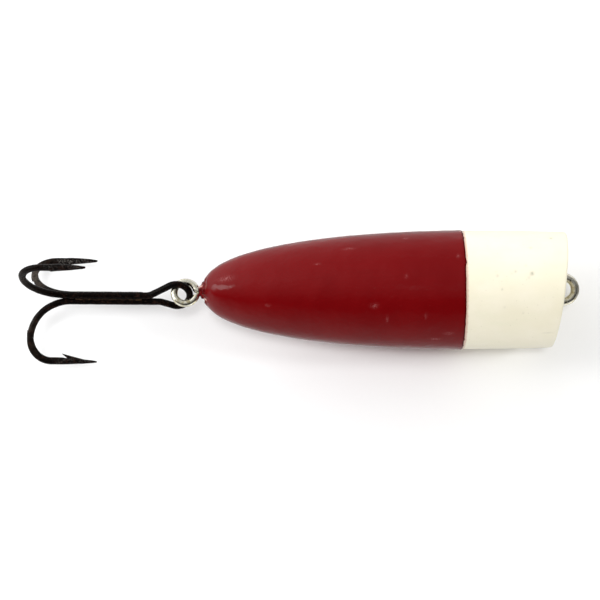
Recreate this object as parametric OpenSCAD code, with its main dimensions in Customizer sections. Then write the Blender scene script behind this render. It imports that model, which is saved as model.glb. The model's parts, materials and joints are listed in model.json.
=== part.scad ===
// Topwater popper: a turned wooden body with a cupped, slanted face, two coats of paint,
// a screw eye at each end and a treble hook that swings on the tail eye.
// Millimetres. +X runs forward along the body's axis, +Z is up, and the origin is the
// centre of the line tie's ring, where the fishing line pulls.

/* [Body] */
// Largest diameter of the finished head
head_d = 22.1; // [20:0.1:24]
// Length along the axis, from the tail's tip to the middle of the face
body_len = 66.3; // [60:0.5:75]
// How far forward from the tail's tip the body keeps widening
taper_len = 52.4; // [46:0.2:56]
// Fullness of the taper's flanks
taper_fullness = 2.15; // [1.9:0.05:2.5]
// Bluntness of the tail's tip
tail_bluntness = 2.5; // [2.2:0.05:2.8]
// How much the head's radius shrinks from its widest place to the face
nose_relief = 0.25; // [0:0.05:0.6]

/* [Face] */
// Slant of the face: the upper lip leads the lower one
face_slant = 7; // [0:1:14]
// Depth of the cup at its middle
cup_depth = 3.7; // [2:0.1:5]
// Width of the flat lip around the cup
lip_w = 0.45; // [0.3:0.05:1]

/* [Paint] */
// Thickness of the ivory base coat, which covers the whole body
base_coat_t = 0.2; // [0.12:0.02:0.3]
// Thickness of the red coat over it
dip_coat_t = 0.14; // [0.1:0.02:0.25]
// Length of the head left ivory, measured on the axis from the face
head_len = 18; // [10:0.5:24]

/* [Screw eyes] */
// Wire of the line tie
line_wire_d = 1.6; // [1.3:0.05:1.8]
// Outer diameter of the line tie's ring
line_ring_d = 6.2; // [5.6:0.1:7]
// Wire of the tail eye
tail_wire_d = 1.32; // [1.2:0.02:1.36]
// Outer diameter of the tail eye's ring
tail_ring_d = 5.5; // [5.46:0.02:5.6]
// How far the tail eye's ring hangs below its shank's axis
tail_ring_drop = 0.38; // [0.3:0.02:0.44]
// Turn of the tail eye about its own shank, as it was screwed in
tail_ring_roll = -16; // [-17:1:-15]
// Length of thread on each screw eye
thread_len = 9; // [6:1:12]
// Pitch of the thread
thread_pitch = 1; // [0.8:0.1:1.2]

/* [Treble hook] */
// Wire of the hooks
hook_wire_d = 1.28; // [1.16:0.02:1.3]
// From the front of the hook's eye, on the wire's centre, back to where the bends begin
hook_reach = 22.2; // [20:0.1:25]
// Turn of the whole treble about its shank
treble_roll = 6; // [5:0.5:8]
// How far the treble's shank rises towards its bends
treble_pitch = 0.6; // [0:0.2:1.2]
// Radius of the round end of the hook's eye, on the wire's centre
eye_r = 2.45; // [2.4:0.05:2.5]

/* [Hidden] */
$fn = 64;

// Positions along the axis. A standoff is from a ring's centre to the body.
line_standoff = 0.9;
tail_standoff = 3.35;
neck_len = 3.2;
face_x = -line_standoff;
tail_x = face_x - body_len;
seam_x = face_x - head_len;
tail_ring_x = tail_x - tail_standoff;
line_thread_x = face_x - cup_depth - neck_len;
tail_thread_x = tail_x + neck_len;

// Hairlines that keep solids apart where they would only touch
paint_gap = 0.01;
wire_gap = 0.02;

// Body outline. The blank runs on past the face by nose_overrun before the face is cut,
// and anything that only cuts is cutter_size long.
outline_steps = 40;
nose_steps = 5;
nose_overrun = 4;
cup_mouth_r = head_d / 2 - nose_relief - lip_w;
cup_r = (cup_mouth_r * cup_mouth_r + cup_depth * cup_depth) / (2 * cup_depth);
cutter_size = 40;
collar_r = 1.75;
collar_len = 0.75;

// Screw eyes. A thread's half base is from its crest to its foot, in turns, and its point
// ends at a share of the full radius.
line_wire_r = line_wire_d / 2;
tail_wire_r = tail_wire_d / 2;
thread_depth = 0.16;
thread_half_base = 1 / 3;
thread_rows_per_turn = 7;
thread_sides = 16;
thread_point_len = 1.6;
thread_tip_share = 0.15;
line_gap_angle = 24;
tail_gap_angle = 16;
knuckle = 0.03;

// Treble hook: each hook is [direction about the shank, extra reach, length before the point]
hook_a = [120, 0.4, 1.8];
hook_b = [-120, 0, 1.3];
hook_c = [0, 0, 2.25];
bends = [[8.4, 30], [7.3, 60], [3.9, 90]];
point_len = 6.36;
point_tilt = 1.6;
point_tip_r = 0.03;
barb = [[-0.32, 1.38], [5.5, 0], [1.2, 0], [0.85, 0.42]];
barb_w = 0.56;
eye_rise = 0.86;
eye_lead_r = 2.4;
eye_angle_up = 31;
eye_angle_down = 19;
eye_inside = 0.79;
treble_side = 1.3;
treble_drop = 0.95;
braze_r = 0.98;
braze_margin = 0.8;

// A bent stretch of wire is a hair thinner than the straight ones and runs a little way
// into them, so that neighbouring stretches join without touching along their length
bend_thinner = 0.01;
bend_lap = 0.05;

// The three wires lie around the shank's axis at bundle_r; a pair's centres are 2 * pair_half apart
hook_wire_r = hook_wire_d / 2;
bundle_r = (hook_wire_r + wire_gap) / sin(60);
pair_half = bundle_r * sin(60);
third_hook_front = eye_back(eye_angle_up, 1) + braze_margin;

// ---------- body ----------

// Radius of the painted ivory surface at a distance from the tail's tip
function body_r(s) =
    let (
        u = min(s / taper_len, 1),
        n = max(0, (s - taper_len) / (body_len - taper_len))
    )
    head_d / 2 * pow(1 - pow(1 - u, taper_fullness), 1 / tail_bluntness) - nose_relief * n * n;

// Distances from the tail's tip, close together where the tip is blunt
function outline_s() = concat(
    [for (i = [0 : outline_steps]) taper_len * pow(i / outline_steps, 2)],
    [for (i = [1 : nose_steps]) taper_len + (body_len + nose_overrun - taper_len) * i / nose_steps]
);

// The outline as [radius, distance], moved outward along its own normal by t
function outline(t) =
    let (s = outline_s(), last = len(s) - 1)
    [for (i = [0 : last])
        let (
            a = [body_r(s[max(i - 1, 0)]) * (i == 0 ? -1 : 1), s[max(i - 1, 0)]],
            b = [body_r(s[min(i + 1, last)]), s[min(i + 1, last)]],
            along = i == 0 ? [1, 0] : (b - a) / norm(b - a)
        )
        [i == 0 ? 0 : body_r(s[i]) + t * along[1], s[i] - t * along[0]]
    ];

// The turned shape, t proud of the ivory surface
module turned_blank(t) {
    profile = outline(t);
    end = profile[len(profile) - 1];
    translate([tail_x, 0, 0]) rotate([0, 90, 0]) rotate_extrude()
        polygon(concat(profile, [[0, end[1]]]));
}

// Everything in front of the face, with the face set back by t
module face_cutter(t) {
    translate([face_x, 0, 0]) rotate([0, face_slant, 0]) {
        translate([-t, -cutter_size / 2, -cutter_size / 2]) cube(cutter_size);
        translate([cup_r - cup_depth, 0, 0]) sphere(r = cup_r + t);
    }
}

module along_x(x0, x1, r) {
    translate([x0, 0, 0]) rotate([0, 90, 0]) cylinder(r = r, h = x1 - x0);
}

module shaped_blank(t) {
    difference() {
        turned_blank(t);
        face_cutter(-t);
    }
}

// Pilot hole and shank clearance for both screw eyes
module screw_eye_bores() {
    along_x(line_thread_x - thread_len - wire_gap, line_thread_x, line_wire_r - thread_depth);
    along_x(line_thread_x - wire_gap, 0, line_wire_r + wire_gap);
    along_x(tail_thread_x, tail_thread_x + thread_len + wire_gap, tail_wire_r - thread_depth);
    along_x(tail_ring_x, tail_thread_x + wire_gap, tail_wire_r + wire_gap);
}

module turned_wood_body() {
    color("burlywood") difference() {
        shaped_blank(-base_coat_t);
        screw_eye_bores();
    }
}

module ivory_base_coat() {
    color("ivory") difference() {
        shaped_blank(0);
        shaped_blank(paint_gap - base_coat_t);
        screw_eye_bores();
    }
}

module red_dip_coat() {
    color([0.52, 0.1, 0.13]) difference() {
        union() {
            intersection() {
                turned_blank(dip_coat_t);
                along_x(tail_x - cutter_size, seam_x, cutter_size);
            }
            // paint built up around the tail eye's shank
            translate([tail_x - collar_len, 0, 0]) rotate([0, 90, 0])
                cylinder(r1 = tail_wire_r + dip_coat_t, r2 = collar_r, h = collar_len + dip_coat_t);
        }
        turned_blank(paint_gap);
        screw_eye_bores();
    }
}

// ---------- screw eyes ----------

// How far the thread stands out at a place on the helix, from 0 at the root to 1 at the crest
function thread_height(turns) =
    let (f = turns - floor(turns))
    max(0, 1 - abs(f - 0.5) / thread_half_base);

// Threaded end, from the origin along +X, with its gimlet point at thread_len
module thread(root_r) {
    rows = ceil(thread_len / thread_pitch * thread_rows_per_turn);
    ring = [for (i = [0 : rows], j = [0 : thread_sides - 1])
        let (
            x = thread_len * i / rows,
            angle = 360 * j / thread_sides,
            fade = min(1, x / thread_pitch),
            taper = min(1, (thread_len - x) / thread_point_len + thread_tip_share),
            r = taper * (root_r + thread_depth * fade * thread_height(x / thread_pitch - j / thread_sides))
        )
        [x, r * cos(angle), r * sin(angle)]
    ];
    side = [for (i = [0 : rows - 1], j = [0 : thread_sides - 1])
        let (k = (j + 1) % thread_sides, a = i * thread_sides, b = a + thread_sides)
        each [[a + j, b + j, b + k], [a + j, b + k, a + k]]
    ];
    ends = [
        [for (j = [0 : thread_sides - 1]) j],
        [for (j = [thread_sides - 1 : -1 : 0]) rows * thread_sides + j]
    ];
    polyhedron(points = ring, faces = concat(side, ends), convexity = 10);
}

// Shank running along +X to thread_x, then the thread. The ring's centre is drop below the
// origin, and the ring runs round from the shank to gap short of +X.
module screw_eye(ring_d, wire_r, drop, gap, thread_x) {
    mid_r = ring_d / 2 - wire_r;
    start = asin(drop / mid_r);
    meet_x = mid_r * cos(start);
    translate([0, 0, -drop]) rotate([90, -start, 0]) rotate_extrude(angle = 360 - gap - start)
        translate([mid_r, 0]) circle(r = wire_r);
    translate([meet_x, 0, 0]) sphere(r = wire_r + knuckle);
    along_x(meet_x, thread_x, wire_r);
    translate([thread_x - bend_lap, 0, 0]) thread(wire_r - thread_depth);
}

module line_tie_screw_eye() {
    color("silver") rotate([0, 0, 180])
        screw_eye(line_ring_d, line_wire_r, 0, line_gap_angle, -line_thread_x);
}

module tail_screw_eye() {
    color("silver") translate([tail_ring_x, 0, 0]) rotate([tail_ring_roll, 0, 0])
        screw_eye(tail_ring_d, tail_wire_r, tail_ring_drop, tail_gap_angle, tail_thread_x - tail_ring_x);
}

// ---------- treble hook ----------

// A run of wire from the origin along +X. Each leg is [radius, turn] for a bend towards
// +Y when the turn is positive, or [length, 0] for a straight. Children ride at its end.
module wire_run(legs, i = 0) {
    if (i == len(legs)) {
        children();
    } else {
        bent = i % 2 == 0;
        size = legs[i][0];
        turn = legs[i][1];
        r = hook_wire_r - (bent ? bend_thinner : 0);
        lap = bent ? bend_lap : 0;
        if (turn == 0) {
            along_x(-lap, size + lap, r);
            translate([size, 0, 0]) wire_run(legs, i + 1) children();
        } else {
            extra = lap / size * 180 / PI;
            mirror([0, turn < 0 ? 1 : 0, 0]) {
                translate([0, size, 0]) rotate([0, 0, -90 - extra])
                    rotate_extrude(angle = abs(turn) + 2 * extra) translate([size, 0]) circle(r = r);
                translate([size * sin(abs(turn)), size * (1 - cos(turn)), 0]) rotate([0, 0, abs(turn)])
                    mirror([0, turn < 0 ? 1 : 0, 0]) wire_run(legs, i + 1) children();
            }
        }
    }
}

// Needle point with its barb on the inner side, from the origin along +X
module hook_point() {
    rotate([0, 0, -point_tilt]) translate([-bend_lap, 0, 0]) rotate([0, 90, 0])
        cylinder(r1 = hook_wire_r - bend_thinner, r2 = point_tip_r, h = point_len + bend_lap);
    translate([0, 0, -barb_w / 2]) linear_extrude(height = barb_w) polygon(barb);
}

// Children drawn with +X backward along the shank and +Y outward, placed on one wire of
// the bundle in the given direction about the shank
module on_wire(direction) {
    rotate([-direction, 0, 0]) translate([0, 0, -bundle_r]) rotate([-90, 0, 180]) children();
}

// One wire from shank_front back through its bend to its point
module hook(spec, shank_front) {
    bend_at = hook_reach + spec[1];
    on_wire(spec[0]) {
        along_x(shank_front, bend_at, hook_wire_r);
        translate([bend_at, 0, 0]) wire_run(concat(bends, [[spec[2], 0]])) hook_point();
    }
}

// Straight part of an eye's leg that brings it out to the round end
function eye_straight(angle, side) =
    let (rise = eye_r + side * eye_rise - pair_half - eye_r * (1 - cos(angle)))
    (rise - eye_lead_r * (1 - cos(angle))) / sin(angle);

// Distance from the eye's front back to where a leg leaves the shank
function eye_back(angle, side) =
    eye_r * (1 + sin(angle)) + eye_straight(angle, side) * cos(angle) + eye_lead_r * sin(angle);

// The plane of the pair of wires that form the eye, with +Y towards hook_a
module pair_plane() {
    rotate([-(hook_a[0] + hook_c[0]) / 2, 0, 0]) translate([0, 0, -bundle_r * cos(60)])
        rotate([180, 0, 0]) children();
}

module hook_eye() {
    pair_plane() {
        for (leg = [[eye_angle_up, 1], [eye_angle_down, -1]])
            translate([-eye_back(leg[0], leg[1]), leg[1] * pair_half, 0])
                wire_run([[eye_lead_r, leg[1] * leg[0]], [eye_straight(leg[0], leg[1]), 0]]);
        lap = bend_lap / eye_r * 180 / PI;
        translate([-eye_r, eye_rise, 0]) rotate([0, 0, -90 - eye_angle_down - lap])
            rotate_extrude(angle = 180 + eye_angle_up + eye_angle_down + 2 * lap)
                translate([eye_r, 0]) circle(r = hook_wire_r - bend_thinner);
    }
}

// Places the treble with the front of its eye inside the tail eye's ring
module on_tail_eye() {
    translate([tail_ring_x, 0, 0]) rotate([tail_ring_roll, 0, 0]) translate([0, 0, -tail_ring_drop])
        rotate([-tail_ring_roll, 0, 0]) translate([eye_inside, treble_side, -treble_drop])
            rotate([0, treble_pitch, 0]) rotate([treble_roll, 0, 0]) children();
}

module eyed_double_hook() {
    color([0.16, 0.12, 0.1]) on_tail_eye() {
        hook(hook_a, eye_back(eye_angle_up, 1));
        hook(hook_c, eye_back(eye_angle_down, -1));
        hook_eye();
    }
}

module brazed_third_hook() {
    color([0.18, 0.13, 0.1]) on_tail_eye() hook(hook_b, third_hook_front);
}

module braze_fillets() {
    color([0.3, 0.25, 0.18]) on_tail_eye() difference() {
        along_x(braze_margin - hook_reach, -third_hook_front, braze_r);
        for (spec = [hook_a, hook_b, hook_c])
            on_wire(spec[0]) along_x(0, hook_reach, hook_wire_r + wire_gap / 2);
    }
}

turned_wood_body();
ivory_base_coat();
red_dip_coat();
line_tie_screw_eye();
tail_screw_eye();
eyed_double_hook();
brazed_third_hook();
braze_fillets();
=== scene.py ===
"""Looks of the topwater popper: paint, plated screw eyes, bronzed treble, stage, lights and camera.

Lengths are millimetres until a mesh is made, angles are degrees, and everything is in the frame of the
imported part: +X forward along the turning axis, +Z up. Angles about the body's axis count from the side
that faces the camera, 90 at the top and -90 at the bottom.
"""

import json
import math

import bmesh
import bpy
import numpy as np
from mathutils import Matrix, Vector


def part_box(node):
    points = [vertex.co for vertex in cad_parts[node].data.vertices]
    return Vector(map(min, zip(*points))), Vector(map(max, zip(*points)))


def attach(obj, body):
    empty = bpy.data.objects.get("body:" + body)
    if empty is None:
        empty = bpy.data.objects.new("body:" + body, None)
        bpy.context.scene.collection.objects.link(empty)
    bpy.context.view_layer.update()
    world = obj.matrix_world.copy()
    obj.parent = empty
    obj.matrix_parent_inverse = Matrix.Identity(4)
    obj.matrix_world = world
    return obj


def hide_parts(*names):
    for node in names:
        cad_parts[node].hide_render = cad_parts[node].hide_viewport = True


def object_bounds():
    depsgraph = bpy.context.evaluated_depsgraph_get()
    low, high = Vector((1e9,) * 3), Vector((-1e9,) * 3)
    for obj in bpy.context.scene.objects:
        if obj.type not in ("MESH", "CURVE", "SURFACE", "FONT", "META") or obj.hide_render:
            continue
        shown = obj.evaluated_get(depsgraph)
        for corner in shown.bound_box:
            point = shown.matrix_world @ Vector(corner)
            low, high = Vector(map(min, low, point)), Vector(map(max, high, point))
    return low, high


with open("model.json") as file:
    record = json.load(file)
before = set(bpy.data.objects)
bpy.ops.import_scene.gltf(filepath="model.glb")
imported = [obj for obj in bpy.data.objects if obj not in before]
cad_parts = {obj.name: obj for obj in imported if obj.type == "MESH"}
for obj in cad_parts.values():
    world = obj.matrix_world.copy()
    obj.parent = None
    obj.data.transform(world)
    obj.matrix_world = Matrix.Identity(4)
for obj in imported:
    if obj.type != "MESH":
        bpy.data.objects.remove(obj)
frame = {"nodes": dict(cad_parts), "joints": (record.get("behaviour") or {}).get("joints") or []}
cad_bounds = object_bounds()

MM = 0.001


# ---------- sizes, from the frame where it gives them ----------


def box_mm(node):
    """A CAD node's lowest and highest corners, in millimetres."""
    lo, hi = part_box(node)
    return Vector(lo) / MM, Vector(hi) / MM


ivory_lo, ivory_hi = box_mm("ivory_base_coat")
red_lo, red_hi = box_mm("red_dip_coat")
line_ring_front = box_mm("line_tie_screw_eye")[1].x
swing = frame["joints"][0]

FACE_SLANT = 7.0
LINE_STANDOFF = 0.9
HEAD_R = ivory_hi.z
TAIL_X = ivory_lo.x
FACE_X = -LINE_STANDOFF
SEAM_X = red_hi.x
BODY_LEN = FACE_X - TAIL_X
DIP_T = red_hi.z - HEAD_R
COLLAR_LEN = TAIL_X - red_lo.x
TAPER_LEN = 52.4
TAPER_FULLNESS = 2.15
TAIL_BLUNTNESS = 2.5
NOSE_RELIEF = 0.25
CUP_DEPTH = 3.7
LIP_W = 0.45
CUP_MOUTH_R = HEAD_R - NOSE_RELIEF - LIP_W
CUP_R = (CUP_MOUTH_R**2 + CUP_DEPTH**2) / (2 * CUP_DEPTH)
BASE_T = 0.19
PAINT_GAP = 0.01

LINE_RING_R = line_ring_front
LINE_WIRE_R = 0.8
TAIL_WIRE_R = 0.66
TAIL_RING_R = 2.75
THREAD_LEN = 9.0
THREAD_PITCH = 1.0
THREAD_DEPTH = 0.16
THREAD_POINT_LEN = 1.6
LINE_BEND_R = 0.92
TAIL_BEND_R = 0.72
NECK_LEN = 3.2
CUT_SLANT = 0.45
CUT_GAP = 0.04
SHANK_PAINT_R = 0.85

HOOK_WIRE_R = 0.64


# ---------- small tools ----------


def smooth_step(x):
    x = np.clip(x, 0, 1)
    return x * x * (3 - 2 * x)


def unit(v):
    return v / np.linalg.norm(v, axis=-1, keepdims=True)


def rot_x(degrees):
    a = math.radians(degrees)
    return np.array([[1, 0, 0], [0, math.cos(a), -math.sin(a)], [0, math.sin(a), math.cos(a)]])


def rot_y(degrees):
    a = math.radians(degrees)
    return np.array([[math.cos(a), 0, math.sin(a)], [0, 1, 0], [-math.sin(a), 0, math.cos(a)]])


class Ripple:
    """Smooth noise of about unit size at points in space, made of waves near one wavelength."""

    def __init__(self, seed, wavelength, waves=28):
        rng = np.random.default_rng(seed)
        direction = unit(rng.normal(size=(waves, 3)))
        self.k = direction * (2 * math.pi / wavelength) * rng.uniform(0.6, 1.6, (waves, 1))
        self.phase = rng.uniform(0, 2 * math.pi, waves)
        self.scale = math.sqrt(2 / waves)

    def __call__(self, p):
        return np.sin(p @ self.k.T + self.phase).sum(-1) * self.scale


def grid_mesh(name, grid, closed_section, attributes=None):
    """A mesh from rings of points. closed_section joins the last ring to the first, otherwise
    each end is closed by a fan. attributes maps a name to one number per point of the grid."""
    rings, sides, _ = grid.shape
    points = grid.reshape(-1, 3)
    count = rings if closed_section else rings - 1
    a = (np.arange(count)[:, None] * sides + np.arange(sides)).ravel()
    step = (np.arange(count)[:, None] * sides + (np.arange(sides) + 1) % sides).ravel()
    total = rings * sides
    faces = np.stack([a, step, (step + sides) % total, (a + sides) % total], 1).tolist()
    if not closed_section:
        points = np.concatenate([points, grid[[0, -1]].mean(1)])
        last = total - sides
        for j in range(sides):
            k = (j + 1) % sides
            faces.append([total, k, j])
            faces.append([total + 1, last + j, last + k])
    mesh = bpy.data.meshes.new(name)
    mesh.from_pydata((points * MM).tolist(), [], faces)
    for key, values in (attributes or {}).items():
        flat = np.zeros(len(points), np.float32)
        flat[:total] = values.reshape(-1)
        mesh.attributes.new(key, "FLOAT", "POINT").data.foreach_set("value", flat)
    b = bmesh.new()
    b.from_mesh(mesh)
    bmesh.ops.recalc_face_normals(b, faces=b.faces)
    b.to_mesh(mesh)
    b.free()
    mesh.shade_smooth()
    piece = bpy.data.objects.new(name, mesh)
    bpy.context.scene.collection.objects.link(piece)
    return piece


def place(piece, body, slot, material, *stands_for):
    """Puts a piece on its CAD body with its material, and hides the CAD nodes it stands for. The slot is
    not used.
    """
    piece.data.materials.append(material)
    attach(piece, body)
    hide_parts(*stands_for)


# ---------- materials ----------


class Shader:
    """A node tree built one node at a time, for a new material or for the tree that is given."""

    def __init__(self, name, tree=None):
        if tree is None:
            self.material = bpy.data.materials.new(name)
            self.material.use_nodes = True
            tree = self.material.node_tree
        self.tree = tree
        self.tree.nodes.clear()

    def add(self, kind, out=0, props=None, **inputs):
        """A node with its properties and inputs set; returns one of its outputs. An input's name is
        its socket's name with _ for a space, or in0, in1 and so on for its position."""
        node = self.tree.nodes.new("ShaderNode" + kind)
        for key, value in (props or {}).items():
            setattr(node, key, value)
        for key, value in inputs.items():
            at = int(key[2:]) if key[:2] == "in" and key[2:].isdigit() else key.replace("_", " ")
            if isinstance(value, bpy.types.NodeSocket):
                self.tree.links.new(value, node.inputs[at])
            else:
                node.inputs[at].default_value = value
        return node.outputs[out]

    def math(self, operation, a, b=0.0, clamp=False):
        return self.add("Math", props={"operation": operation, "use_clamp": clamp}, in0=a, in1=b)

    def millimetres(self, stretch=(1, 1, 1)):
        """The place in the part's frame, in millimetres, with each axis stretched."""
        place_m = self.add("TexCoord", out=3)
        scale = tuple(s / MM for s in stretch)
        return self.add("VectorMath", props={"operation": "MULTIPLY"}, in0=place_m, in1=scale)

    def noise(self, at, scale, detail=3.0, roughness=0.55):
        return self.add("TexNoise", Vector=at, Scale=scale, Detail=detail, Roughness=roughness)

    def specks(self, at, scale, size):
        """1 inside small round spots spread at random, fading to 0 at their edges."""
        distance = self.add("TexVoronoi", Vector=at, Scale=scale)
        return self.fade(distance, size, size * 0.4)

    def fade(self, value, start, end, low=0.0, high=1.0):
        props = {"interpolation_type": "SMOOTHSTEP"}
        return self.add("MapRange", props=props, Value=value, in1=start, in2=end, in3=low, in4=high)

    def mix(self, share, a, b):
        return self.add("Mix", out=2, props={"data_type": "RGBA"}, in0=share, in6=a, in7=b)

    def bump(self, height, distance_mm):
        return self.add("Bump", Height=height, Distance=distance_mm * MM, Strength=1.0)

    def mark(self, name):
        """A value the mesh code stored on the points."""
        return self.add("Attribute", out=2, props={"attribute_name": name})

    def finish(self, **inputs):
        surface = self.add("BsdfPrincipled", **inputs)
        self.tree.links.new(surface, self.tree.nodes.new("ShaderNodeOutputMaterial").inputs[0])
        return self.material


def rgba(red, green, blue):
    return (red, green, blue, 1.0)


def grey(level):
    return (level, level, level, 1.0)


def red_lacquer():
    s = Shader("red_lacquer")
    at = s.millimetres()
    cloud = s.fade(s.noise(at, 0.12, 2.0), 0.3, 0.7)
    colour = s.mix(cloud, rgba(0.138, 0.0018, 0.0028), rgba(0.152, 0.0024, 0.0034))
    streaks = s.noise(s.millimetres((0.05, 1.2, 1.2)), 0.9, 4.0)
    colour = s.mix(s.fade(streaks, 0.5, 0.8, 0.0, 0.35), colour, rgba(0.128, 0.0016, 0.0024))
    grain = s.specks(at, 1.1, 0.07)
    colour = s.mix(s.math("MULTIPLY", grain, 0.3), colour, rgba(0.3, 0.06, 0.06))
    # Darker where the lacquer is thicker on the collar's lumps, and painted shade along the coat's rounded
    # edge at the seam
    thick_paint_and_edge_shade = s.mark("build_up_and_edge_shade")
    colour = s.mix(s.math("MULTIPLY", thick_paint_and_edge_shade, 0.8), colour, rgba(0.05, 0.001, 0.0012))
    # Paler and rougher on real scuffs and on one painted highlight near the tail
    scuff_and_highlight = s.mark("scuff_and_highlight")
    rubbed_and_highlight = s.math("MULTIPLY", scuff_and_highlight, s.fade(s.noise(at, 4.5, 4.0, 0.7), 0.42, 0.62), clamp=True)
    colour = s.mix(s.math("MULTIPLY", rubbed_and_highlight, 0.35), colour, rgba(0.5, 0.2, 0.2))
    colour = s.mix(s.mark("chip"), colour, rgba(0.8, 0.5, 0.42))
    dull = s.fade(s.noise(at, 0.5, 5.0, 0.65), 0.35, 0.75, 0.1, 0.17)
    roughness = s.math("ADD", dull, s.math("MULTIPLY", rubbed_and_highlight, 0.35))
    height = s.noise(at, 0.55, 2.0)
    height = s.math("ADD", height, s.math("MULTIPLY", s.noise(at, 5.0, 3.0), 0.05))
    height = s.math("ADD", height, s.math("MULTIPLY", grain, 0.1))
    normal = s.bump(height, 0.05)
    gloss = {"Specular_IOR_Level": s.fade(thick_paint_and_edge_shade, 0.0, 1.0, 0.12, 0.03)}
    return s.finish(Base_Color=colour, Roughness=roughness, Normal=normal, IOR=1.47, **gloss)


def ivory_enamel():
    s = Shader("ivory_enamel")
    at = s.millimetres()
    cloud = s.fade(s.noise(at, 0.16, 3.0), 0.3, 0.7)
    colour = s.mix(cloud, rgba(0.855, 0.80, 0.625), rgba(0.885, 0.83, 0.67))
    pale = s.fade(s.noise(s.millimetres((0.25, 1, 1)), 0.45, 4.0), 0.45, 0.75, 0.0, 0.4)
    colour = s.mix(pale, colour, rgba(0.83, 0.80, 0.61))
    grain = s.specks(at, 0.8, 0.1)
    colour = s.mix(s.math("MULTIPLY", grain, 0.3), colour, rgba(0.45, 0.41, 0.3))
    along = s.add("SeparateXYZ", Vector=at)
    ragged = s.math("ADD", along, s.math("MULTIPLY", s.noise(at, 2.0, 3.0), 0.5))
    stain = s.fade(ragged, SEAM_X + 0.35, SEAM_X + 0.75, 0.5, 0.0)
    colour = s.mix(stain, colour, rgba(0.5, 0.17, 0.12))
    # Painted shade: the ivory darkens towards the cup's floor round the line tie, with a ragged noisy edge
    cup_floor = (FACE_X - CUP_DEPTH, 0, 0)
    from_floor = s.add("VectorMath", out=1, props={"operation": "DISTANCE"}, in0=at, in1=cup_floor)
    uneven = s.math("ADD", from_floor, s.math("MULTIPLY", s.noise(at, 0.6, 4.0), 3.0))
    colour = s.mix(s.fade(uneven, 1.5, 7.5, 0.75, 0.0), colour, rgba(0.47, 0.39, 0.25))
    dirt = s.math("MULTIPLY", s.mark("dirt"), s.fade(s.noise(at, 3.0, 3.0), 0.3, 0.6, 0.5, 1.0))
    colour = s.mix(dirt, colour, rgba(0.36, 0.34, 0.26))
    roughness = s.fade(s.noise(at, 0.7, 5.0, 0.65), 0.3, 0.8, 0.3, 0.42)
    height = s.math("ADD", s.noise(at, 0.8, 2.0), s.math("MULTIPLY", s.noise(at, 5.0, 3.0), 0.08))
    height = s.math("SUBTRACT", height, s.math("MULTIPLY", grain, 0.15))
    normal = s.bump(height, 0.03)
    return s.finish(Base_Color=colour, Roughness=roughness, Normal=normal, IOR=1.47)


def nickel_plate():
    s = Shader("nickel_plate")
    at = s.millimetres()
    worn = s.fade(s.noise(at, 1.3, 5.0, 0.65), 0.45, 0.65)
    colour = s.mix(worn, rgba(0.7, 0.68, 0.58), rgba(0.5, 0.44, 0.29))
    spots = s.fade(s.noise(at, 4.0, 4.0, 0.7), 0.62, 0.72)
    colour = s.mix(s.math("MULTIPLY", spots, 0.5), colour, rgba(0.22, 0.18, 0.12))
    roughness = s.fade(s.noise(at, 2.0, 4.0), 0.3, 0.8, 0.12, 0.32)
    drawn = s.noise(at, 3.0, 4.0)
    normal = s.bump(drawn, 0.02)
    return s.finish(Base_Color=colour, Metallic=1.0, Roughness=roughness, Normal=normal)


def bronzed_steel():
    """Steel with a black-brown oxide skin: nearly black, with brown where the skin is thin, and a painted
    brown highlight at the bends.
    """
    s = Shader("bronzed_steel")
    at = s.millimetres()
    worn = s.fade(s.noise(at, 1.1, 5.0, 0.7), 0.5, 0.72)
    colour = s.mix(worn, rgba(0.0016, 0.001, 0.0009), rgba(0.02, 0.008, 0.005))
    flecks = s.fade(s.noise(s.millimetres((0.5, 1, 1)), 5.5, 3.0, 0.6), 0.6, 0.7)
    colour = s.mix(s.math("MULTIPLY", flecks, 0.5), colour, rgba(0.06, 0.03, 0.022))
    # Brown where the bronzing is worn at the bend; this also serves as a painted brown highlight there
    rubbed_and_highlight = s.math("MULTIPLY", s.mark("rubbed_and_highlight"), s.fade(s.noise(at, 0.9, 4.0), 0.4, 0.6, 0.3, 1.0))
    colour = s.mix(rubbed_and_highlight, colour, rgba(0.055, 0.042, 0.032))
    grit = s.math("MULTIPLY", s.mark("forged"), s.fade(s.noise(at, 3.5, 3.0, 0.7), 0.52, 0.6))
    colour = s.mix(s.math("MULTIPLY", grit, 0.8), colour, rgba(0.12, 0.11, 0.1))
    roughness = s.fade(s.noise(at, 2.2, 4.0), 0.3, 0.8, 0.2, 0.4)
    rough = s.math("MULTIPLY", s.mark("forged"), s.noise(at, 4.5, 3.0, 0.6))
    height = s.math("ADD", s.math("MULTIPLY", s.noise(at, 2.5, 4.0), 0.3), s.math("MULTIPLY", rough, 2.0))
    normal = s.bump(height, 0.06)
    gloss = {"Specular_IOR_Level": 0.06}
    return s.finish(Base_Color=colour, Metallic=0.0, Roughness=roughness, Normal=normal, IOR=1.45, **gloss)


def braze_metal():
    s = Shader("braze_metal")
    at = s.millimetres()
    worn = s.fade(s.noise(at, 1.5, 4.0), 0.4, 0.7)
    colour = s.mix(worn, rgba(0.04, 0.025, 0.018), rgba(0.15, 0.085, 0.045))
    normal = s.bump(s.noise(at, 3.0, 4.0), 0.06)
    return s.finish(Base_Color=colour, Metallic=0.8, Roughness=0.42, Normal=normal)


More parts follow.
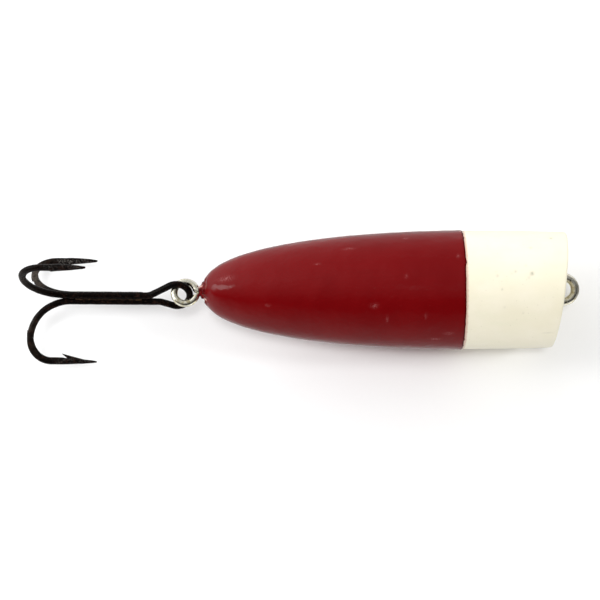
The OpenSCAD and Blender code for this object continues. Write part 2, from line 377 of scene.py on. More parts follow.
def turned_wood():
    s = Shader("turned_wood")
    across = s.millimetres((0.02, 1, 1))
    swirl = s.noise(across, 0.35, 2.0)
    off_centre = s.add("VectorMath", props={"operation": "ADD"}, in0=across, in1=(0, 14, 5))
    rings = s.add(
        "TexWave",
        out=1,
        props={"wave_type": "RINGS", "rings_direction": "X"},
        Vector=off_centre,
        Scale=0.35,
        Distortion=1.5,
        Detail=3.0,
    )
    colour = s.mix(rings, rgba(0.56, 0.37, 0.2), rgba(0.38, 0.22, 0.1))
    pores = s.fade(s.noise(s.millimetres((0.15, 4, 4)), 1.0, 3.0), 0.55, 0.7)
    colour = s.mix(s.math("MULTIPLY", pores, 0.5), colour, rgba(0.24, 0.13, 0.06))
    colour = s.mix(s.fade(swirl, 0.4, 0.7, 0.0, 0.3), colour, rgba(0.62, 0.44, 0.26))
    normal = s.bump(pores, 0.05)
    return s.finish(Base_Color=colour, Roughness=0.7, Normal=normal)


# ---------- body ----------


def body_radius(s):
    """Radius of the ivory surface at a distance from the tail's tip."""
    u = np.clip(s / TAPER_LEN, 0, 1)
    nose = np.clip((s - TAPER_LEN) / (BODY_LEN - TAPER_LEN), 0, None)
    return HEAD_R * (1 - (1 - u) ** TAPER_FULLNESS) ** (1 / TAIL_BLUNTNESS) - NOSE_RELIEF * nose**2


def around(theta):
    """Unit direction away from the axis, for angles in radians, as columns y and z."""
    return np.stack([-np.cos(theta), np.sin(theta)], -1)


def revolve(x, radius, theta):
    """Points of a surface of revolution: x and radius are (rows, columns)."""
    yz = around(theta)
    return np.stack([x + 0 * yz[:, 0], radius * yz[:, 0], radius * yz[:, 1]], -1)


def section_normals(grid):
    """Outward unit normals of a grid of rings about the X axis."""
    down = np.gradient(grid, axis=0)
    wrapped = np.concatenate([grid[:, -1:], grid, grid[:, :1]], 1)
    round_ = (wrapped[:, 2:] - wrapped[:, :-2]) / 2
    n = unit(np.cross(round_, down))
    outward = np.sign((n[len(n) // 2, 0, 1:] * grid[len(n) // 2, 0, 1:]).sum())
    return n * outward


def bump_at(grid, x, angle, size, along=1.0, across=1.0):
    """A round bump of height 1 centred on a place on the surface, optionally stretched."""
    a = math.radians(angle)
    r = max(float(body_radius(np.array(x - TAIL_X))), SHANK_PAINT_R)
    centre = np.array([x, -r * math.cos(a), r * math.sin(a)])
    tangent = np.array([0, math.sin(a), math.cos(a)])
    offset = grid - centre
    dx = offset[..., 0] / along
    dt = (offset @ tangent) / across
    depth = offset @ np.array([0, -math.cos(a), math.sin(a)])
    return np.exp(-(dx**2 + dt**2) / size**2) * (np.abs(depth) < 2)


def fillet(a, corner, b, steps):
    """Points that round a corner between a and b, without its two ends."""
    t = np.linspace(0, 1, steps + 2)[1:-1, None, None]
    return (1 - t) ** 2 * a + 2 * t * (1 - t) * corner + t**2 * b


def ivory_section(theta):
    """The ivory surface from the tail's hole over the head and lip into the cup, as rings."""
    hole = TAIL_WIRE_R + 0.02
    back = FACE_X - 8 - TAIL_X
    s_tail = 0.03 + (SEAM_X - 2.5 - TAIL_X) * np.linspace(0, 1, 36) ** 2
    s_head = np.linspace(SEAM_X - 2.5 - TAIL_X, back, 46)[1:]
    yz = around(theta)
    slant = math.tan(math.radians(FACE_SLANT))
    rim_s = np.full(len(theta), BODY_LEN)
    for _ in range(6):
        rim_s = BODY_LEN + slant * body_radius(rim_s) * yz[:, 1]
    edge_r = body_radius(rim_s)
    lead = 0.55 + 0.25 * smooth_step(-yz[:, 1])
    side_end = rim_s - lead
    t = np.linspace(0, 1, 42)[1:, None]
    s_nose = back + (side_end - back) * t
    s_rows = np.concatenate([np.repeat(np.concatenate([s_tail, s_head])[:, None], len(theta), 1), s_nose])
    radius = np.maximum(body_radius(s_rows), hole)
    side = revolve(TAIL_X + s_rows, radius, theta)

    normal = np.array([math.cos(math.radians(FACE_SLANT)), 0, -math.sin(math.radians(FACE_SLANT))])
    centre = np.array([FACE_X, 0, 0])
    edge = revolve((TAIL_X + rim_s)[None], edge_r[None], theta)[0]
    spoke = unit(edge - centre)
    mouth = centre + CUP_MOUTH_R * spoke
    flat_a = edge - spoke * 0.24
    flat_b = mouth + spoke * 0.1
    open_angle = math.asin(CUP_MOUTH_R / CUP_R)
    hole_angle = math.asin((LINE_WIRE_R + 0.02) / CUP_R)
    arc = np.linspace(open_angle - 0.2 / CUP_R, hole_angle, 44)[:, None, None]
    cup = centre + normal * (CUP_R - CUP_DEPTH) + CUP_R * (np.sin(arc) * spoke - np.cos(arc) * normal)
    lip_out = fillet(side[-1], edge, flat_a, 7)
    lip_in = fillet(flat_b, mouth, cup[0], 4)
    return np.concatenate([side, lip_out, flat_a[None], flat_b[None], lip_in, cup])


def closed_shell(outer, thickness, inner_rows):
    """The outer rings joined to fewer inner ones, thickness inside them, as one closed section."""
    pick = np.unique(np.linspace(0, len(outer) - 1, inner_rows).round().astype(int))
    inner = outer[pick] - section_normals(outer)[pick] * thickness
    return np.concatenate([outer, inner[::-1]])


def padded(values, rows):
    """Marks on the outer rings, with zeros for the inner ones."""
    return np.concatenate([values, np.zeros((rows - len(values), values.shape[1]))])


# Pits and specks on the ivory: place along the axis, angle, size, depth
IVORY_PITS = [
    (-2.9, 60, 0.3, 0.05),
    (-17.5, 82, 0.3, 0.05),
    (-6.9, 44, 0.28, 0.03),
    (-8.1, 23, 0.22, 0.02),
    (-7.0, 15, 0.34, 0.06),
    (-7.6, 11, 0.2, 0.03),
    (-10.0, 17, 0.24, 0.03),
    (-10.7, 15, 0.2, 0.02),
    (-13.3, 13, 0.24, 0.03),
    (-13.5, 17, 0.16, 0.02),
    (-12.5, 0, 0.2, 0.03),
    (-12.0, -17, 0.2, 0.02),
    (-8.6, -23, 0.18, 0.02),
    (-15.1, 118, 0.3, 0.04),
    (-5.2, 152, 0.26, 0.04),
    (-10.4, 201, 0.3, 0.05),
    (-13.8, 236, 0.24, 0.04),
    (-6.1, 261, 0.28, 0.03),
]


def ivory_coat(material):
    theta = np.linspace(0, 2 * math.pi, 340, endpoint=False)
    outer = ivory_section(theta)
    normals = section_normals(outer)
    bare = smooth_step((outer[..., 0] - (SEAM_X + 0.5)) / 1.0)
    swell = 0.012 * Ripple(11, 5.0)(outer) + 0.006 * Ripple(12, 1.6)(outer)
    dirt = np.zeros(outer.shape[:2])
    for x, angle, size, depth in IVORY_PITS:
        pit = bump_at(outer, x, angle, size)
        swell = swell - depth * pit
        dirt = np.maximum(dirt, pit * min(1.0, depth * 14))
    scratch = bump_at(outer, -3.8, -47, 0.14, along=6.0, across=1.0)
    dirt = np.maximum(dirt, 0.35 * scratch)
    outer = outer + normals * (swell * bare)[..., None]
    grid = closed_shell(outer, BASE_T, 40)
    piece = grid_mesh("ivory_coat", grid, True, {"dirt": padded(dirt * bare, len(grid))})
    place(piece, "popper", "ivory_paint", material, "ivory_base_coat")


# Scuffs on the red, and one painted highlight near the tail: place along the axis, angle, size, length
# along the axis, length across
RED_SCUFFS_AND_HIGHLIGHT = [
    (-40.2, 48, 0.4, 2.2, 0.7),
    (-29.6, 61, 0.35, 1.2, 0.8),
    (-29.8, 13, 0.3, 0.8, 1.2),
    (-35.6, -16, 0.5, 1.2, 0.8),
    (-33.3, -30, 0.16, 1.0, 3.5),
    (-26.2, -26, 0.16, 1.0, 3.0),
    (-20.4, 33, 0.12, 1.0, 3.6),
    (-19.8, 34, 0.12, 1.0, 3.2),
    (-22.0, -46, 0.5, 1.6, 0.6),
    (-24.4, -55, 0.5, 1.8, 0.6),
    (-46.0, 30, 0.3, 1.6, 0.6),
    (-55.0, -20, 0.3, 1.2, 0.8),
    # painted highlight: this paler, rougher mark stands in for the soft reflection of the window light near
    # the tail
    (-62.8, 23, 0.5, 2.6, 1.0),
    (-31.0, 140, 0.5, 2.0, 0.8),
    (-44.0, 170, 0.4, 1.0, 1.6),
    (-25.0, 200, 0.5, 1.8, 0.8),
    (-52.0, 215, 0.4, 1.4, 1.0),
    (-37.0, 250, 0.5, 1.2, 1.4),
]

# Chips in the red: place along the axis, angle, size
RED_CHIPS = [
    (SEAM_X - 0.25, 76, 0.25),
    (TAIL_X - 0.5, 48, 0.24),
    (TAIL_X + 0.4, -42, 0.2),
    (TAIL_X + 0.2, 150, 0.2),
]


def red_profile():
    """The red coat's outline as x and radius, from the collar on the eye's shank to the seam."""
    s = 0.2 + (SEAM_X - TAIL_X - 0.35 - 0.2) * np.linspace(0, 1, 190) ** 1.5
    ds = 0.001
    slope = (body_radius(s + ds) - body_radius(s)) / ds
    cos_a, sin_a = 1 / np.hypot(1, slope), slope / np.hypot(1, slope)
    body = np.stack([TAIL_X + s - DIP_T * sin_a, body_radius(s) + DIP_T * cos_a], 1)
    shank_r = TAIL_WIRE_R + DIP_T
    front = TAIL_X - COLLAR_LEN
    collar = np.array([[front, TAIL_WIRE_R + 0.03], [front + 0.04, shank_r], [front + 0.25, shank_r + 0.2]])
    rise = np.linspace(0, 1, 8)[1:-1, None]
    ramp = collar[-1] + (body[0] - collar[-1]) * np.concatenate([rise, rise**0.8], 1)
    return np.concatenate([collar, ramp, body])


def seam_shift(theta):
    """How far the red coat's edge strays along the axis at each angle."""
    ring = np.stack([0 * theta, 10 * np.cos(theta), 10 * np.sin(theta)], -1)
    return 0.03 * Ripple(31, 6.0)(ring) + 0.03 * np.maximum(0, Ripple(32, 1.6)(ring)) ** 2


def red_coat(material):
    theta = np.linspace(0, 2 * math.pi, 340, endpoint=False)
    profile = red_profile()
    x = np.repeat(profile[:, :1], len(theta), 1)
    radius = np.repeat(profile[:, 1:], len(theta), 1)
    near_seam = smooth_step((x - (SEAM_X - 4)) / 4)
    x = x + near_seam * seam_shift(theta)
    outer = revolve(x, radius, theta)
    normals = section_normals(outer)

    from_seam = SEAM_X + seam_shift(theta) - outer[..., 0]
    bead = 0.05 * np.exp(-(((from_seam - 0.55) / 0.35) ** 2))
    swell = 0.012 * Ripple(21, 5.0)(outer) + 0.005 * Ripple(22, 1.5)(outer) + bead
    tail = smooth_step((TAIL_X + 1.2 - outer[..., 0]) / 1.2)
    lumps = Ripple(24, 1.1)(outer)
    swell = swell + tail * 0.13 * np.clip(lumps, -0.8, 1.5)
    # Marks of real scuffs and of one painted highlight near the tail
    scuff_and_highlight = np.zeros(outer.shape[:2])
    for sx, angle, size, along, across in RED_SCUFFS_AND_HIGHLIGHT:
        mark = bump_at(outer, sx, angle, size, along, across)
        swell = swell - 0.015 * mark
        scuff_and_highlight = np.maximum(scuff_and_highlight, mark)
    chip = np.zeros(outer.shape[:2])
    for cx, angle, size in RED_CHIPS:
        chip = np.maximum(chip, bump_at(outer, cx, angle, size))
    outer = outer + normals * swell[..., None]

    # the edge: round down to the ivory, then back along it to the tail
    edge_x = outer[-1, :, 0] + 0.3
    s_edge = outer[-1, :, 0] - TAIL_X
    top_r = np.hypot(outer[-1, :, 1], outer[-1, :, 2])
    base_r = body_radius(s_edge) + PAINT_GAP
    turn = np.linspace(0, 90, 8)[1:, None] * math.pi / 180
    edge_rows = revolve(
        outer[-1, :, 0] + (edge_x - outer[-1, :, 0]) * np.sin(turn),
        base_r + (top_r - base_r) * np.cos(turn),
        theta,
    )
    s_in = (SEAM_X - 0.8 - TAIL_X) * np.linspace(1, 0, 34)[:, None] ** 1.6
    inner_r = np.maximum(body_radius(s_in) + PAINT_GAP, TAIL_WIRE_R + 0.02)
    inner = revolve(TAIL_X + s_in + 0 * theta, inner_r + 0 * theta, theta)
    under = revolve(
        np.full((1, len(theta)), TAIL_X - COLLAR_LEN),
        np.full((1, len(theta)), TAIL_WIRE_R + 0.02),
        theta,
    )
    grid = np.concatenate([outer, edge_rows, inner, under])
    # Darker mask: thicker lacquer on the collar's lumps, and painted shade on the rounded edge at the seam
    build_up_and_edge_shade = np.maximum(tail * smooth_step(lumps + 0.6), np.exp(-((from_seam - 0.1) / 0.22) ** 2))
    build_up_and_edge_shade = np.concatenate([build_up_and_edge_shade, np.ones(edge_rows.shape[:2])])
    marks = {"scuff_and_highlight": scuff_and_highlight, "build_up_and_edge_shade": build_up_and_edge_shade, "chip": chip}
    marks = {key: padded(value, len(grid)) for key, value in marks.items()}
    piece = grid_mesh("red_coat", grid, True, marks)
    place(piece, "popper", "red_paint", material, "red_dip_coat")


# ---------- wire ----------


def sweep(path, radius, sides):
    """Rings of points round a centre line. radius gives the rings' radii from the directions of
    their points, or is one number per ring. Returns the rings and their directions."""
    tangent = unit(np.gradient(path, axis=0))
    up = unit(np.cross(tangent[0], [0.31, 0.72, 0.62]))
    first = np.zeros_like(path)
    for i, t in enumerate(tangent):
        up = unit(up - t * (up @ t))
        first[i] = up
    second = np.cross(tangent, first)
    turn = np.linspace(0, 2 * math.pi, sides, endpoint=False)[None, :, None]
    direction = np.cos(turn) * first[:, None] + np.sin(turn) * second[:, None]
    r = radius(direction) if callable(radius) else np.repeat(radius[:, None], sides, 1)
    return path[:, None] + r[..., None] * direction, direction


def wire_run(legs, step, start=(0.0, 0.0), heading=0.0):
    """Plane points along straights [length, 0] and bends [radius, turn], turning left when positive."""
    x, y = start
    points = [(x, y)]
    a = math.radians(heading)
    for size, turn in legs:
        sweep_angle = math.radians(turn)
        length = size * abs(sweep_angle) if turn else size
        count = max(1, math.ceil(length / step))
        for _ in range(count):
            half = sweep_angle / count / 2
            chord = length / count * (math.sin(half) / half if half else 1)
            a += half
            x += chord * math.cos(a)
            y += chord * math.sin(a)
            a += half
            points.append((x, y))
    return np.array(points)


def screw_eye(name, ring_r, wire_r, bend_r, drop, thread_x, place_matrix, shift, material, node):
    """A screw eye: its ring's centre drop below the origin, its shank along +X, moved by a rotation
    and a shift. The wire leaves the shank in a tight bend, goes round, and ends cut on a slant close
    under its own neck."""
    mid_r = ring_r - wire_r
    reach = mid_r + bend_r
    bend_x = math.sqrt(reach**2 - (bend_r + drop) ** 2)
    meet = math.degrees(math.asin((bend_r + drop) / reach))
    gap = math.degrees(math.asin((wire_r - drop + CUT_GAP) / ring_r) + CUT_SLANT * wire_r / ring_r)
    end = thread_x + THREAD_LEN
    legs = [(end - bend_x, 0), (bend_r, -(90 - meet)), (mid_r, 360 - gap - meet)]
    plane = wire_run(legs, 0.09, start=(end, 0.0), heading=180.0)
    path = np.stack([plane[:, 0], 0 * plane[:, 0], plane[:, 1]], 1)
    along = np.concatenate([[0], np.cumsum(np.linalg.norm(np.diff(path, axis=0), axis=1))])
    total = along[-1]

    def radius(direction):
        angle = np.arctan2(direction[..., 2], direction[..., 1]) / (2 * math.pi)
        x = path[:, 0][:, None]
        on_thread = (along[:, None] < THREAD_LEN) * 1.0
        turns = (x - thread_x) / THREAD_PITCH - angle
        crest = np.clip(1 - np.abs(turns % 1 - 0.5) * 3, 0, 1)
        start_fade = np.clip((x - thread_x) / THREAD_PITCH, 0, 1)
        threaded = wire_r - THREAD_DEPTH + THREAD_DEPTH * crest * start_fade
        point = np.clip(along[:, None] / THREAD_POINT_LEN + 0.12, 0, 1)
        shank_in = smooth_step((THREAD_LEN - along[:, None]) / 0.25)
        r = wire_r + (threaded - wire_r) * shank_in * on_thread
        cut = 1 - 0.12 * np.exp(-(total - along[:, None]) / 0.05)
        worn = 1 + 0.012 * Ripple(41, 1.8)(path)[:, None]
        return r * point * cut * worn

    rings, _ = sweep(path, radius, 32)
    tangent = unit(np.gradient(path, axis=0))[:, None]
    centre = np.array([0, 0, -drop])
    outward = np.linalg.norm(rings - centre, axis=-1) - mid_r
    slant_len = 2.2 * wire_r
    slanted = smooth_step((along - total + slant_len) / slant_len)[:, None, None]
    rings = rings + tangent * (CUT_SLANT * outward)[..., None] * slanted
    rings = rings @ place_matrix.T + shift
    piece = grid_mesh(name, rings, False)
    place(piece, "popper", "nickel_wire", material, node)


# ---------- treble ----------

HOOK_REACH = 22.2
# Each hook is its direction about the shank, extra reach, and length before the point. The
# hooks stand a degree or two off even thirds.
HOOK_A = (122, 0.4, 1.8)
HOOK_B = (-118.8, 0.0, 1.3)
HOOK_C = (0, 0.0, 2.25)
BENDS = [(8.4, 30), (7.3, 60), (3.9, 90)]
POINT_LEN = 6.36
POINT_TILT = -1.6
EYE_R = 2.45
EYE_RISE = 0.86
EYE_LEAD_R = 2.4
EYE_UP = 31
EYE_DOWN = 19
EYE_INSIDE = 0.79
TREBLE_SIDE = 1.3
TREBLE_DROP = 0.95
TREBLE_ROLL = 6
TREBLE_PITCH = 0.6
WIRE_GAP = 0.02
BUNDLE_R = (HOOK_WIRE_R + WIRE_GAP) / math.sin(math.pi / 3)
PAIR_HALF = BUNDLE_R * math.sin(math.pi / 3)
BRAZE_R = 0.98
BRAZE_MARGIN = 0.8
BARB_BASE_U = 5.5
BARB_TIP_U = -0.32
BARB_TIP_H = 1.38
BARB_NOTCH_U = 0.85
BARB_HALF_W = 0.3
WIRE_STEP = 0.22
POINT_ROWS = 110
AWAY_FROM_POINT = -60.0
PAIR_AGE = 0.3
THIRD_AGE = 1.0

ring_centre = Vector(swing["pos_m"]) / MM
treble_origin = np.array(ring_centre) + [EYE_INSIDE, TREBLE_SIDE, -TREBLE_DROP]


def eye_straight(angle, side):
    rise = EYE_R + side * EYE_RISE - PAIR_HALF - EYE_R * (1 - math.cos(math.radians(angle)))
    return (rise - EYE_LEAD_R * (1 - math.cos(math.radians(angle)))) / math.sin(math.radians(angle))


def eye_back(angle, side):
    a = math.radians(angle)
    return EYE_R * (1 + math.sin(a)) + eye_straight(angle, side) * math.cos(a) + EYE_LEAD_R * math.sin(a)


def treble_place(points):
    return points @ (rot_y(TREBLE_PITCH) @ rot_x(TREBLE_ROLL)).T + treble_origin


def on_wire(direction, plane_points):
    """Plane points (backward, outward) of the wire in that direction about the shank."""
    a = math.radians(direction)
    out = np.array([0, -math.sin(a), -math.cos(a)])
    return plane_points[:, :1] * np.array([-1.0, 0, 0]) + (plane_points[:, 1:] + BUNDLE_R) * out


def in_pair_plane(plane_points):
    """Plane points (forward, towards hook A) of the plane that holds the eye."""
    a, c = math.radians(HOOK_A[0]), math.radians(HOOK_C[0])
    out_a = np.array([0, -math.sin(a), -math.cos(a)])
    out_c = np.array([0, -math.sin(c), -math.cos(c)])
    middle = (out_a + out_c) / 2 * BUNDLE_R
    return middle + plane_points[:, :1] * np.array([1.0, 0, 0]) + plane_points[:, 1:] * unit(out_a - out_c)


def hook_path(spec, shank_front):
    """Centre line of one hook from the front of its shank to its point, and how far each place is
    from the start of the point."""
    straight = HOOK_REACH + spec[1] - shank_front
    legs = [(straight, 0)] + BENDS + [(spec[2], 0)]
    body = wire_run(legs, WIRE_STEP, start=(shank_front, 0.0))
    tip_heading = 180 + POINT_TILT
    point = wire_run([(POINT_LEN, 0)], WIRE_STEP / 2.2, start=tuple(body[-1]), heading=tip_heading)
    plane = np.concatenate([body, point[1:]])
    u = np.concatenate([np.full(len(body), np.nan), np.linspace(0, POINT_LEN, len(point))[1:]])
    back = np.cumsum(np.linalg.norm(np.diff(body[::-1], axis=0), axis=1))[::-1]
    u[: len(body) - 1] = -back
    u[len(body) - 1] = 0.0
    return on_wire(spec[0], plane), u


def shape_point(rings, direction, path, u, spec):
    """Turns the plain wire near a point into a needle with a cut barb on its inner side."""
    a = math.radians(spec[0])
    inner = np.array([0, math.sin(a), math.cos(a)])
    plane_normal = np.cross([1.0, 0, 0], inner)
    lift = direction @ inner
    side = direction @ plane_normal
    uu = u[:, None]
    # the section is slim in the bend's plane and wide across it
    slim = np.clip(1 - uu / POINT_LEN, 0.0, 1) ** 0.65 * 0.9 + 0.1
    wide = np.clip(1 - (uu / POINT_LEN) ** 2, 0.0, 1) ** 0.75 * 0.94 + 0.06 + 0.12 * smooth_step(uu / 1.5)
    taper = slim * lift**2 + np.minimum(wide, slim + 0.4) * side**2
    r = HOOK_WIRE_R * np.where(uu > 0, taper, 1.0)
    flat = np.where(uu > -12, 0.07 * smooth_step((uu + 12) / 4), 0)
    stretch = 1 + flat * (np.abs(lift) - np.abs(side))
    out = path[:, None] + (r * stretch)[..., None] * direction
    tangent = unit(np.gradient(path, axis=0))[:, None]

    # the barb's crest line: up from near the tip to its free end, then down into the notch
    crest_on = (lift > 0) * np.exp(-((side * r / BARB_HALF_W) ** 4))
    climb = np.clip((BARB_BASE_U - uu) / (BARB_BASE_U - BARB_TIP_U), 0, 1)
    before_notch = uu > BARB_NOTCH_U
    squeeze = (BARB_BASE_U - BARB_TIP_U) / (BARB_BASE_U - BARB_NOTCH_U - 0.3)
    crest_u = np.where(uu > BARB_NOTCH_U + 0.3, BARB_BASE_U - (BARB_BASE_U - uu) * squeeze, uu)
    falling = np.clip((uu - BARB_NOTCH_U) / 0.3, 0, 1)
    at_fall = (uu <= BARB_NOTCH_U + 0.3) & before_notch
    crest_u = np.where(at_fall, BARB_NOTCH_U + (BARB_TIP_U - BARB_NOTCH_U) * falling, crest_u)
    climb = np.clip((BARB_BASE_U - crest_u) / (BARB_BASE_U - BARB_TIP_U), 0, 1)
    crest_h = np.where(at_fall, 0.42 + (BARB_TIP_H - 0.42) * falling, BARB_TIP_H * climb)
    notch = np.exp(-(((uu - BARB_NOTCH_U + 0.35) / 0.45) ** 2)) * 0.16 * (uu <= BARB_NOTCH_U)
    height = np.where(before_notch & (uu < BARB_BASE_U), np.maximum(crest_h, r), r - notch)
    shift = np.where(before_notch & (uu < BARB_BASE_U), crest_u - uu, 0)
    lift_by = (height - r * lift) * crest_on
    out = out + lift_by[..., None] * inner + (shift * crest_on)[..., None] * tangent
    return out


def hook_marks(u, sides, age):
    """Where the forged point is rough, and where the bronzing is worn at the bend, which also paints a
    brown highlight there.
    """
    forged = smooth_step((u + 2.5) / 2.0) * age
    rubbed_and_highlight = np.exp(-(((u + 9.0) / 4.0) ** 2)) * age
    shape = (1, sides)
    return {"forged": forged[:, None] * np.ones(shape), "rubbed_and_highlight": rubbed_and_highlight[:, None] * np.ones(shape)}


def hook_piece(name, path, u, spec_at, age, material, slot_node, sides=36):
    """One bent wire. u counts from the start of the nearer point, spec_at says whose point that is,
    and age from 0 to 1 is how rough the point and how worn the bend is, with a painted brown highlight on
    it."""
    radius = np.full(len(path), HOOK_WIRE_R)
    rings, direction = sweep(path, radius, sides)
    grit = age * smooth_step((u + 2.5) / 2.0)[:, None]
    wear = 1 + 0.012 * Ripple(51, 2.0)(rings) + 0.04 * grit * Ripple(52, 0.7)(rings)
    rings = path[:, None] + (rings - path[:, None]) * wear[..., None]
    for spec, rows in spec_at:
        if rows.stop is not None and rows.start is None:
            backward = [values[rows][::-1] for values in (rings, direction, path, u)]
            rings[rows] = shape_point(*backward, spec)[::-1]
        else:
            rings[rows] = shape_point(rings[rows], direction[rows], path[rows], u[rows], spec)
    piece = grid_mesh(name, treble_place(rings), False, hook_marks(u, sides, age))
    place(piece, "treble", "bronzed_wire", material, slot_node)


def double_hook(material):
    up_back, down_back = eye_back(EYE_UP, 1), eye_back(EYE_DOWN, -1)
    path_a, u_a = hook_path(HOOK_A, up_back)
    path_c, u_c = hook_path(HOOK_C, down_back)
    legs = [
        (EYE_LEAD_R, EYE_UP),
        (eye_straight(EYE_UP, 1), 0),
        (EYE_R, -(180 + EYE_UP + EYE_DOWN)),
        (eye_straight(EYE_DOWN, -1), 0),
        (EYE_LEAD_R, EYE_DOWN),
    ]
    eye = in_pair_plane(wire_run(legs, WIRE_STEP * 0.7, start=(-up_back, PAIR_HALF)))
    far = np.full(len(eye) - 2, AWAY_FROM_POINT)
    path = np.concatenate([path_a[::-1], eye[1:-1], path_c])
    u = np.concatenate([u_a[::-1], far, u_c])
    points = [(HOOK_A, slice(None, POINT_ROWS)), (HOOK_C, slice(len(path) - POINT_ROWS, None))]
    hook_piece("double_hook", path, u, points, PAIR_AGE, material, "eyed_double_hook")


def third_hook(material):
    front = eye_back(EYE_UP, 1) + BRAZE_MARGIN
    path, u = hook_path(HOOK_B, front)
    lead = path[0] + np.array([[0.06, 0, 0]])
    path = np.concatenate([lead, path])
    u = np.concatenate([[u[0] - 0.1], u])
    points = [(HOOK_B, slice(len(path) - POINT_ROWS, None))]
    hook_piece("third_hook", path, u, points, THIRD_AGE, material, "brazed_third_hook")


def braze(material):
    """Filler between the three wires, a little uneven along its length."""
    front = -eye_back(EYE_UP, 1) - BRAZE_MARGIN
    back = BRAZE_MARGIN - HOOK_REACH
    x = np.concatenate([[front + 0.02], np.linspace(front, back, 90), [back - 0.02]])
    turn = np.linspace(0, 2 * math.pi, 48, endpoint=False)
    toward_wire = np.abs((np.degrees(turn) + 60) % 120 - 60)
    wire_edge = BUNDLE_R * np.cos(np.radians(toward_wire)) - np.sqrt(
        np.maximum(0, (HOOK_WIRE_R + 0.01) ** 2 - (BUNDLE_R * np.sin(np.radians(toward_wire))) ** 2)
    )
    inside = np.radians(toward_wire) < math.asin((HOOK_WIRE_R + 0.01) / BUNDLE_R)
    line = np.stack([x, 0 * x, 0 * x], 1)
    fill = BRAZE_R * (0.97 + 0.07 * Ripple(61, 1.6)(line))[:, None]
    groove = np.where(inside, wire_edge, 10.0)[None]
    r = np.minimum(fill, groove)
    r[0] *= 0.6
    r[-1] *= 0.6
    direction = np.stack([0 * turn, -np.sin(turn), -np.cos(turn)], 1)
    rings = line[:, None] + r[..., None] * direction[None]
    piece = grid_mesh("braze_filler", treble_place(rings), False)
    place(piece, "treble", "braze", material, "braze_fillets")


# ---------- build ----------

ivory_coat(ivory_enamel())
red_coat(red_lacquer())
nickel = nickel_plate()
screw_eye(
    "line_tie",
    LINE_RING_R,
    LINE_WIRE_R,
    LINE_BEND_R,
    0.0,
    LINE_STANDOFF + CUP_DEPTH + NECK_LEN,
    np.diag([-1.0, -1.0, 1.0]),
    np.zeros(3),
    nickel,
    "line_tie_screw_eye",
)
ring_axis = Vector(swing["axis"])
ring_roll = math.degrees(math.atan2(ring_axis.z, ring_axis.y))
ring_drop = ring_centre.yz.length
screw_eye(
    "tail_eye",
    TAIL_RING_R,
    TAIL_WIRE_R,
    TAIL_BEND_R,
    ring_drop,
    TAIL_X + NECK_LEN - ring_centre.x,
    rot_x(ring_roll),
    np.array([ring_centre.x, 0, 0]),
    nickel,
    "tail_screw_eye",
)
bronze = bronzed_steel()
double_hook(bronze)
third_hook(bronze)
braze(braze_metal())
wood = frame["nodes"]["turned_wood_body"]
wood.data.materials.clear()
wood.data.materials.append(turned_wood())


# ---------- stage, lights and camera ----------

low, high = (Vector(corner) / MM for corner in cad_bounds)
middle = (low + high) / 2

# A ray counts as coming from the front above this cosine of its angle to the camera's axis
FRONT_VIEW = 0.93
LAMP_ANGLE = 9
LENS_MM = 111
SENSOR_MM = 36
VIEW_POINT = (TAIL_X + 18.05, -346.0, -1.8)
VIEW_ROLL = 0.2


def plane_object(name, corners):
    mesh = bpy.data.meshes.new(name)
    mesh.from_pydata([Vector(c) * MM for c in corners], [], [(0, 1, 2, 3)])
    sheet = bpy.data.objects.new(name, mesh)
    bpy.context.scene.collection.objects.link(sheet)
    for ray in ("diffuse", "glossy", "transmission", "volume_scatter", "shadow"):
        setattr(sheet, "visible_" + ray, False)
    return sheet


def stage_material(name, seen_from_front):
    """Pale matt paper. The backdrop is seen only from the front, and the floor only from elsewhere."""
    s = Shader(name)
    at = s.millimetres()
    fibres = s.noise(at, 1.5, 4.0)
    colour = s.mix(fibres, grey(0.895), grey(0.91))
    paper = s.add("BsdfDiffuse", Color=colour)
    incoming = s.add("NewGeometry", out=4)
    forward = s.add("VectorMath", out=1, props={"operation": "DOT_PRODUCT"}, in0=incoming, in1=(0, -1, 0))
    front = s.math("GREATER_THAN", forward, FRONT_VIEW)
    share = front if seen_from_front else s.math("SUBTRACT", 1.0, front)
    clear = s.add("BsdfTransparent")
    both = s.add("MixShader", in0=share, in1=clear, in2=paper)
    s.tree.links.new(both, s.tree.nodes.new("ShaderNodeOutputMaterial").inputs[0])
    return s.material


def stage():
    reach = 3000
    floor_z = low.z - 0.1
    square = [(-reach, -reach), (reach, -reach), (reach, reach), (-reach, reach)]
    floor = plane_object("floor", [(x, y, floor_z) for x, y in square])
    floor.data.materials.append(stage_material("floor_paper", False))
    side, height = 1500, 400
    lean_back, turn_away = 0.15, 0.08
    touch = Vector((SEAM_X, red_hi.y + 0.5, -HEAD_R))
    corners = [(-side, -height), (side, -height), (side, height), (-side, height)]
    backdrop = plane_object(
        "backdrop",
        [(x, touch.y + lean_back * (z - touch.z) + turn_away * (touch.x - x), z) for x, z in corners],
    )
    backdrop.data.materials.append(stage_material("backdrop_paper", True))


def area_light(name, at, size, power):
    light = bpy.data.lights.new(name, "AREA")
    light.shape = "RECTANGLE"
    light.size, light.size_y = size[0] * MM, size[1] * MM
    light.energy = power
    lamp = bpy.data.objects.new(name, light)
    lamp.location = (middle + Vector(at)) * MM
    lamp.rotation_euler = (-Vector(at)).to_track_quat("-Z", "Y").to_euler()
    bpy.context.scene.collection.objects.link(lamp)


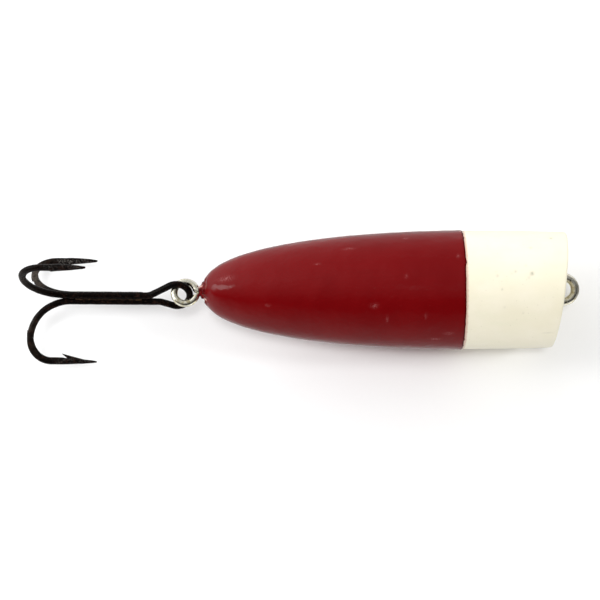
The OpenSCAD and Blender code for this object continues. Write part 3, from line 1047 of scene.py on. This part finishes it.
# The room's brightness by direction. Each list goes round the X axis as degrees up from the camera's
# side and a brightness; there is one for the left, one for the middle and one for the right. It's
# dim straight ahead of the lure, so that the cup keeps its shading, and white where the camera looks.
ROOM_LEFT = [
    (-180, 1.0), (-120, 1.4), (-90, 1.7), (-60, 0.8), (-34, 0.0), (0, 0.75), (30, 1.9),
    (90, 2.4), (130, 1.4), (180, 1.0),
]
ROOM_MIDDLE = [
    (-180, 0.45), (-120, 0.8), (-90, 0.9), (-60, 0.3), (-50, 0.2), (-44, 0.0), (-20, 0.0),
    (-8, 0.3), (30, 0.65), (65, 0.6), (90, 0.9), (120, 1.0), (180, 0.45),
]
ROOM_RIGHT = [
    (-180, 0.8), (-120, 1.6), (-90, 2.1), (-60, 1.0), (-34, 0.0), (30, 0.07), (90, 1.1),
    (120, 1.2), (180, 0.8),
]
AHEAD = 0.25
SEEN_BY_CAMERA = 1.1


def world_light():
    """A pale room with the dark of the camera's side in its middle."""
    world = bpy.data.worlds.new("room")
    bpy.context.scene.world = world
    world.use_nodes = True
    tree = world.node_tree
    s = Shader("room", tree)
    away = s.add("TexCoord", out=0)
    node = tree.nodes.new("ShaderNodeSeparateXYZ")
    tree.links.new(away, node.inputs[0])
    forward = s.math("MULTIPLY", node.outputs[1], -1.0)
    angle = s.math("ARCTAN2", node.outputs[2], forward)
    share = s.math("ADD", s.math("DIVIDE", angle, 2 * math.pi), 0.5)

    def ramp_of(stops):
        ramp = tree.nodes.new("ShaderNodeValToRGB")
        tree.links.new(share, ramp.inputs[0])
        elements = ramp.color_ramp.elements
        while len(elements) < len(stops):
            elements.new(0.5)
        for element, (degrees, value) in zip(elements, stops):
            element.position = degrees / 360 + 0.5
            element.color = grey(value)
        return ramp.outputs[0]

    sideways = s.math("MULTIPLY", node.outputs[0], 1.3)
    to_left = s.math("MULTIPLY", sideways, -1.0, clamp=True)
    to_right = s.math("MULTIPLY", sideways, 1.0, clamp=True)
    light = s.mix(to_left, ramp_of(ROOM_MIDDLE), ramp_of(ROOM_LEFT))
    light = s.mix(to_right, light, ramp_of(ROOM_RIGHT))
    light = s.mix(s.fade(node.outputs[0], 0.65, 0.95), light, grey(AHEAD))
    ray = s.add("LightPath", out=0)
    shown = s.mix(ray, light, grey(SEEN_BY_CAMERA))
    back = s.add("Background", Color=shown, Strength=1.0)
    tree.links.new(back, tree.nodes.new("ShaderNodeOutputWorld").inputs[0])


def far_light(name, turn, rise, brightness):
    """A soft far light, turned to the right of the camera's side and raised; not mirrored."""
    light = bpy.data.lights.new(name, "SUN")
    light.energy = brightness * math.pi
    light.angle = math.radians(LAMP_ANGLE)
    lamp = bpy.data.objects.new(name, light)
    a, b = math.radians(turn), math.radians(rise)
    toward = Vector((math.sin(a) * math.cos(b), -math.cos(a) * math.cos(b), math.sin(b)))
    lamp.rotation_euler = (-toward).to_track_quat("-Z", "Y").to_euler()
    lamp.visible_glossy = False
    bpy.context.scene.collection.objects.link(lamp)


def camera():
    lens = bpy.data.cameras.new("camera")
    lens.lens = LENS_MM
    lens.sensor_width = SENSOR_MM
    view = bpy.data.objects.new("camera", lens)
    view.location = Vector(VIEW_POINT) * MM
    view.rotation_euler = (math.pi / 2, math.radians(VIEW_ROLL), 0)
    bpy.context.scene.collection.objects.link(view)
    bpy.context.scene.camera = view


stage()
world_light()
area_light("window", (-480, -235, 95), (330, 110), 0.95)
far_light("front", 0, 5, 0.34)
far_light("overhead", 0, 70, 0.09)
far_light("right", 40, 10, 0.22)
camera()
bpy.context.scene.view_settings.view_transform = "Standard"
